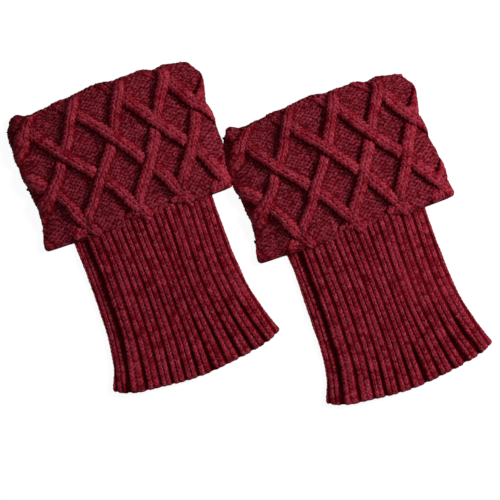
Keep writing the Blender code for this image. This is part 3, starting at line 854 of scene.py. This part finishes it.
def purl_stitch(wale, course):
    """Height from 0 to 1 of purl stitches: short bowed bumps, each row set between those of the next."""
    low_side = wale - np.rint(wale)
    high_side = wale - 0.5 - np.rint(wale - 0.5)
    low = course - 0.25 - np.rint(course - 0.25) + PURL_BOW * low_side**2
    high = course - 0.75 - np.rint(course - 0.75) - PURL_BOW * high_side**2
    first, second = (
        np.sqrt(np.clip(1 - (side / PURL_WIDTH) ** 2 - (along / PURL_LENGTH) ** 2, 0, 1))
        for side, along in ((low_side, low), (high_side, high))
    )
    size = PURL_SMALLEST + PURL_UNEVEN * scatter(np.rint(wale * 2), np.rint(course * 2), 5)
    return np.maximum(first, LOWER_PURL * second) * size


def puffs(x, down):
    """How far the ground swells out or sinks in at the places where the cuff is drawn in."""
    swell = 0.0
    for row in PUFFS:
        aside = (x - row["across"]) / row["wide"]
        below = (down - row["down"]) / row["tall"]
        swell = swell + row["rise"] * np.exp(-(aside**2 + below**2))
    return swell


def ground_relief(x, up, seed):
    """Height of the purl ground, with its stitch coordinates and each point's painted shade and tone."""
    down = SEAM_DOWN - up
    falling, rising = lattice_phase(x, down)
    inside_diamond = np.abs(np.sin(math.pi * falling) * np.sin(math.pi * rising))
    wale = x / CUFF_WALE + stray("ground wale", x, up, seed)
    wale = wale + stray("ground wale, fine", x, up, seed + 6)
    course = up / CUFF_COURSE + stray("ground course", x, up, seed + 1)
    course = course + stray("ground course, fine", x, up, seed + 7)
    stitch = purl_stitch(wale, course)
    height = puffs(x, down) - GROUND_SAG * inside_diamond
    height = height + PURL_RISE * stitch + stray("ground height", x, up, seed + 2)
    from_edge = (up - CUFF_HEIGHT - LOOP_UP) / LOOP_LENGTH
    loops = np.abs(np.cos(math.pi * wale)) * np.exp(-(from_edge**2))
    loop_size = LOOP_SMALLEST + LOOP_UNEVEN * scatter(np.rint(wale), 0, seed)
    height = height + LOOP_RISE * loops * loop_size
    # Painted shade: the ground's colour is darker between the purl bumps and darker still beside each
    # cable, as a painted shadow. shade is each stitch's random tone.
    close = np.minimum(np.abs(falling - np.rint(falling)), np.abs(rising - np.rint(rising)))
    near_cable = ease(2 * (CABLE_NEAR - close) / CABLE_NEAR)
    shade = LOOP_SHADE * (scatter(np.rint(wale * 2), np.rint(course * 2), seed + 5) - 0.5)
    painted_shade_and_tone = 1 - (GROUND_LIGHT + PURL_LIGHT * stitch) * (1 - CABLE_SHADOW * near_cable) + shade
    facing = 1 - ease((np.abs(x) - CUFF_FLAT - FACING_ARCS * CUFF_ARC) / (FADING_ARCS * CUFF_ARC))
    return height * facing, wale, course, np.clip(painted_shade_and_tone, 0, 1)


def cuff_columns():
    """Places round the cuff: close ones on its front and sides, wider ones underneath."""
    reach = CUFF_FLAT + FRONT_ARCS * CUFF_ARC
    front = np.linspace(-reach, reach, int(2 * reach / CUFF_COLUMN))
    under = np.linspace(reach, CUFF_FLAT + 2 * CUFF_ARC + CUFF_UNDER, CUFF_UNDER_STEPS)[1:]
    return np.concatenate([-under[::-1], front, under])


def cuff_rows():
    """Places up the cuff: from the seam to the top edge, round its rim and down inside."""
    rim = math.pi * CUFF_WALL / 2
    front = list(np.linspace(CUFF_FIRST_ROW, CUFF_HEIGHT - CUFF_LAST_ROW, CUFF_ROWS))
    round_rim = list(np.linspace(CUFF_HEIGHT, CUFF_HEIGHT + rim, CUFF_RIM_STEPS))
    inside = [CUFF_HEIGHT + rim + depth for depth in CUFF_INSIDE]
    return np.array(list(CUFF_SEAM_ROWS) + front + round_rim + inside)


GROUND_SEED = 20
EDGE_SOFT = 3.0
SEAM_SOFT = 1.0

# The ground yarn's colours: painted shade in the hollows, its own red, and painted light on the crests.
ground_yarn = heathered_acrylic("heathered acrylic, purl ground", "#440009", "#620612", "#8a2737")
surfaces = {
    "left": cuff_surface_of("left", "tucked"),
    "right": cuff_surface_of("pressed", "right"),
}
grounds = {}
for number, side in enumerate(PLACES):
    x, up = np.meshgrid(cuff_columns(), cuff_rows())
    height, wale, course, painted_shade_and_tone = ground_relief(x, up, GROUND_SEED + number)
    height = height * np.clip(1 - (up - CUFF_HEIGHT) / EDGE_SOFT, 0, 1)
    height = height * ease((up + SEAM_SOFT) / EDGE_SOFT)
    points = raised(surfaces[side], x, up, height)
    mesh = knitted_grid(to_world(points, side), wale, course, painted_shade_and_tone, close=True)
    grounds[side] = finished_piece(side + "_cuff_ground", [mesh], ground_yarn)

# Cables
# Each cable is two knit wales in the cuff's own yarn, knitted with the ground and travelling slantwise
# over it. Cables of the two slants cross in rows, and the one on top changes from row to row.

CABLE_WALES = 2
CABLE_WIDTH = 5.0
SLANT = math.atan2(CROSSING_PERIOD / 2, CROSSING_ROW)
CABLE_COURSE = CUFF_COURSE / math.cos(SLANT)
CABLE_BEADING = 0.07
PATH_ROUNDS = 4
STRAYS.update(
    {
        "cable path": (0.7, 14),
        "cable path, fine": (0.35, 5),
        "cable width": (0.12, 9),
    }
)

# How high a cable stands, and how it passes over or under another.
CABLE_RISE = 3.3
CABLE_ROUNDNESS = 0.45
CROSSING_LIFT = 0.5
LIFT_POWER = 3
CROSSING_DIP = 3.2
DIP_POWER = 9
DIP_LAG = 0.09

# Where it sinks into the ground: at the rim, at the seam, round the sides, and where the cuffs touch.
RIM_RUN = 3.6
SEAM_RUN = 1.0
FALLING_START = 5.0
RISING_START = -1.0
RIM_FADE = 5.0
FADE_DOWN = 77.5
FADE_LENGTH = 10.0
END_FADE = 0.92
LOWEST_END = 0.2
SIDE_ARCS = 1.6
SIDE_START = 1.5
SIDE_FADE = 0.7
SIDE_END = 6.0
END_SINK = 0.8
END_SINK_LENGTH = 4.0
TOUCH_ACROSS = 1.0
TOUCH_LENGTH = 5.0
TOUCH_DOWN = 48.0
TOUCH_HEIGHT = 4.0

# Its stitches, with a groove between the wales, and the painted light and shade in their colour:
# darker on the cable's sides, in the groove and between the stitches.
CABLE_STITCH_RISE = 1.2
CABLE_GROOVE = 0.7
CABLE_SHIFT = 0.3
WALE_ROUNDNESS = 0.8
KNIT_WIDTH = 0.9
SIDE_STITCH = 0.15
CABLE_SIDE_LIGHT = 0.3
CABLE_GROOVE_LIGHT = 0.75
CABLE_GAP_LIGHT = 0.2
CABLE_STITCH_LIGHT = 0.9

# The mesh's own spacing. A skirt at each edge goes down into the ground.
CABLE_ROW = 0.52
CABLE_BAND = 0.93
CABLE_BANDS = 16
SKIRT = (1.0, 1.08, 1.16)
SKIRT_TOP = 0.5
SKIRT_SLOPE = 8.0
FEWEST_ROWS = 8
EDGE_MARGIN = 0.001


def cable_mesh(side, start, falls, seed):
    """One cable from the top edge to the seam. start is where it would cross the first row."""
    lean = 1 if falls else -1
    length = (CUFF_HEIGHT + RIM_RUN + SEAM_RUN) / math.cos(SLANT)
    run = np.linspace(0, length, int(length / CABLE_ROW))
    bands = np.linspace(-CABLE_BAND, CABLE_BAND, CABLE_BANDS)
    bands = np.concatenate([-np.array(SKIRT[::-1]), bands, SKIRT])
    band, run = np.meshgrid(bands, run)
    centre_up = CUFF_HEIGHT + RIM_RUN - run * math.cos(SLANT)
    down = SEAM_DOWN - centre_up
    # The cloth's own pull depends on where the cable lies, so its path is found in a few rounds.
    regular = start + lean * (down - CROSSING_DOWN) / CROSSING_ROW * CROSSING_PERIOD / 2
    centre_x = regular
    for _ in range(PATH_ROUNDS):
        centre_x = regular + wander("falling" if falls else "rising", centre_x, down)
    own = np.full_like(run, seed)
    centre_x = centre_x + stray("cable path", run, own, seed)
    centre_x = centre_x + stray("cable path, fine", run, own, seed + 9)
    width = CABLE_WIDTH * (1 + stray("cable width", run, own, seed + 40))
    width = width * (1 + CABLE_BEADING * np.cos(2 * math.pi * run / CABLE_COURSE))
    x = centre_x + band * width * math.cos(SLANT)
    up = centre_up + lean * band * width * math.sin(SLANT)
    reach = CUFF_FLAT + SIDE_ARCS * CUFF_ARC
    keep = (np.abs(centre_x) < reach) & (centre_up > LOWEST_END)
    rows = np.flatnonzero(keep[:, 0])
    if len(rows) < FEWEST_ROWS:
        return None
    band, run, x, up, centre_x, down = (a[rows] for a in (band, run, x, up, centre_x, down))
    falling, rising = lattice_phase(centre_x, down)
    step = rising - falling
    from_row = step - np.rint(step)
    over = (np.rint(step) % 2 == 1) == falls
    lag = 0 if falls else DIP_LAG
    dip = CROSSING_DIP * np.clip(np.cos(math.pi * (from_row - lag)), 0, 1) ** DIP_POWER
    rise = CABLE_RISE + np.where(over, CROSSING_LIFT * np.cos(math.pi * from_row) ** LIFT_POWER, -dip)
    to_end = reach - np.abs(centre_x)
    side_share = 1 - SIDE_FADE * ease((np.abs(x) - CUFF_FLAT - SIDE_START) / CUFF_ARC)
    side_share = side_share * ease(to_end / SIDE_END)
    end_share = 1 - END_FADE * ease((down - FADE_DOWN) / FADE_LENGTH)
    rim_share = ease((CUFF_HEIGHT - up - (FALLING_START if falls else RISING_START)) / RIM_FADE)
    rise = rise * side_share * end_share * rim_share
    if side == "left":
        touch = ease((x - CUFF_FLAT - TOUCH_ACROSS) / TOUCH_LENGTH)
        rise = rise * (1 - touch * ease((down - TOUCH_DOWN) / TOUCH_HEIGHT))
    profile = np.clip(1 - band**2, 0, 1) ** CABLE_ROUNDNESS
    wale = (band / KNIT_WIDTH * 0.5 + 0.5) * CABLE_WALES
    course = run / CABLE_COURSE + CABLE_SHIFT * scatter(np.floor(wale), 0, seed)
    part = np.clip(wale, EDGE_MARGIN, CABLE_WALES - EDGE_MARGIN)
    stitch = knit_stitch(part, course) * (np.abs(band) < 1 - EDGE_MARGIN)
    rounding = np.sin(math.pi * (part - np.floor(part))) ** WALE_ROUNDNESS
    stitched = CABLE_GROOVE * (rounding - 1) + CABLE_STITCH_RISE * stitch
    swell = puffs(x, down)
    height = (rise + stitched * partly(SIDE_STITCH, side_share)) * profile + swell
    height = height - END_SINK * (1 - ease(to_end / END_SINK_LENGTH))
    skirt = swell - SKIRT_TOP - SKIRT_SLOPE * (np.abs(band) - 1)
    height = np.where(np.abs(band) >= 1, skirt, height)
    # Painted shade: the cable's colour is darker on its sides, in the groove between its wales and
    # between its stitches. shade is each stitch's random tone.
    shade = LOOP_SHADE * (scatter(np.floor(wale), np.floor(course), seed + 5) - 0.5)
    light = partly(CABLE_SIDE_LIGHT, profile) * partly(CABLE_GROOVE_LIGHT, rounding)
    painted_shade_and_tone = 1 - light * (CABLE_GAP_LIGHT + CABLE_STITCH_LIGHT * stitch) + shade
    points = raised(surfaces[side], x, up, height)
    return knitted_grid(to_world(points, side), wale, course, np.clip(painted_shade_and_tone, 0, 1), close=False)


CABLE_SEED = 60
SIDE_SEEDS = 30
FURTHEST_CABLE = 5

# The cable yarn's colours: painted shade in the hollows, its own red, and painted light on the crests.
cable_yarn = heathered_acrylic("heathered acrylic, cables", "#480009", "#750817", "#9c2b3c")
for number, side in enumerate(PLACES):
    meshes = []
    for n in range(-FURTHEST_CABLE, FURTHEST_CABLE + 1):
        for falls in (True, False):
            start = CROSSING_ACROSS + CROSSING_PERIOD * n
            seed = CABLE_SEED + SIDE_SEEDS * number + 2 * n + falls
            mesh = cable_mesh(side, start, falls, seed)
            if mesh:
                meshes.append(mesh)
    cables = finished_piece(side + "_cables", meshes, cable_yarn)
    ground = grounds[side]
    for piece in (ground, cables):
        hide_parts(side + "_cable_cuff")
        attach(piece, "root")

# Table, light and camera
# The pair lies on a plain pale table. A soft light stands low to the right and a large one above, and
# the camera looks straight down, as the photograph does.

VIEW_MIDDLE = (0.2, -11.6)
VIEW_WIDTH = 350.0
CAMERA_HEIGHT = 1300.0
CLOTH_HEIGHT = 5.0
SENSOR = 36.0
TABLE_HALF = 3.0
TABLE_DROP = 0.2
WORLD_LIGHT = 0.1
PAPER_FINISH = {
    "Base Color": linear("#707070"),
    "Emission Color": linear("#ffffff"),
    "Emission Strength": 0.92,
    "Roughness": 1.0,
    "Specular IOR Level": 0.0,
}

bm = bmesh.new()
bmesh.ops.create_grid(bm, x_segments=1, y_segments=1, size=TABLE_HALF)
table_top = bpy.data.meshes.new("table")
bm.to_mesh(table_top)
bm.free()
floor = bpy.data.objects.new("table", table_top)
floor.location = (0, 0, -TABLE_DROP * MM)
floor.visible_diffuse = False
bpy.context.scene.collection.objects.link(floor)
paper = bpy.data.materials.new("white matt paper")
paper.use_nodes = True
for socket, value in PAPER_FINISH.items():
    paper.node_tree.nodes["Principled BSDF"].inputs[socket].default_value = value
table_top.materials.append(paper)


def area_light(name, place, size, power):
    """A soft square light that points at the middle of the pair."""
    lamp = bpy.data.lights.new(name, "AREA")
    lamp.size = size
    lamp.energy = power
    lit = bpy.data.objects.new(name, lamp)
    lit.location = place
    towards = -lit.location.normalized()
    lit.rotation_euler = towards.to_track_quat("-Z", "Y").to_euler()
    bpy.context.scene.collection.objects.link(lit)


area_light("key", place=(1.1, 0.5, 0.8), size=0.35, power=20)
area_light("top", place=(0.1, 0.2, 1.8), size=1.6, power=5)
world = bpy.data.worlds.new("studio")
bpy.context.scene.world = world
world.use_nodes = True
backdrop = world.node_tree.nodes["Background"]
backdrop.inputs["Color"].default_value = linear("#ffffff")
backdrop.inputs["Strength"].default_value = WORLD_LIGHT

lens = bpy.data.cameras.new("camera")
lens.sensor_width = SENSOR
lens.lens = SENSOR * (CAMERA_HEIGHT - CLOTH_HEIGHT) / VIEW_WIDTH
camera = bpy.data.objects.new("camera", lens)
camera.location = (VIEW_MIDDLE[0] * MM, VIEW_MIDDLE[1] * MM, CAMERA_HEIGHT * MM)
bpy.context.scene.collection.objects.link(camera)
bpy.context.scene.camera = camera
bpy.context.scene.view_settings.view_transform = "Standard"
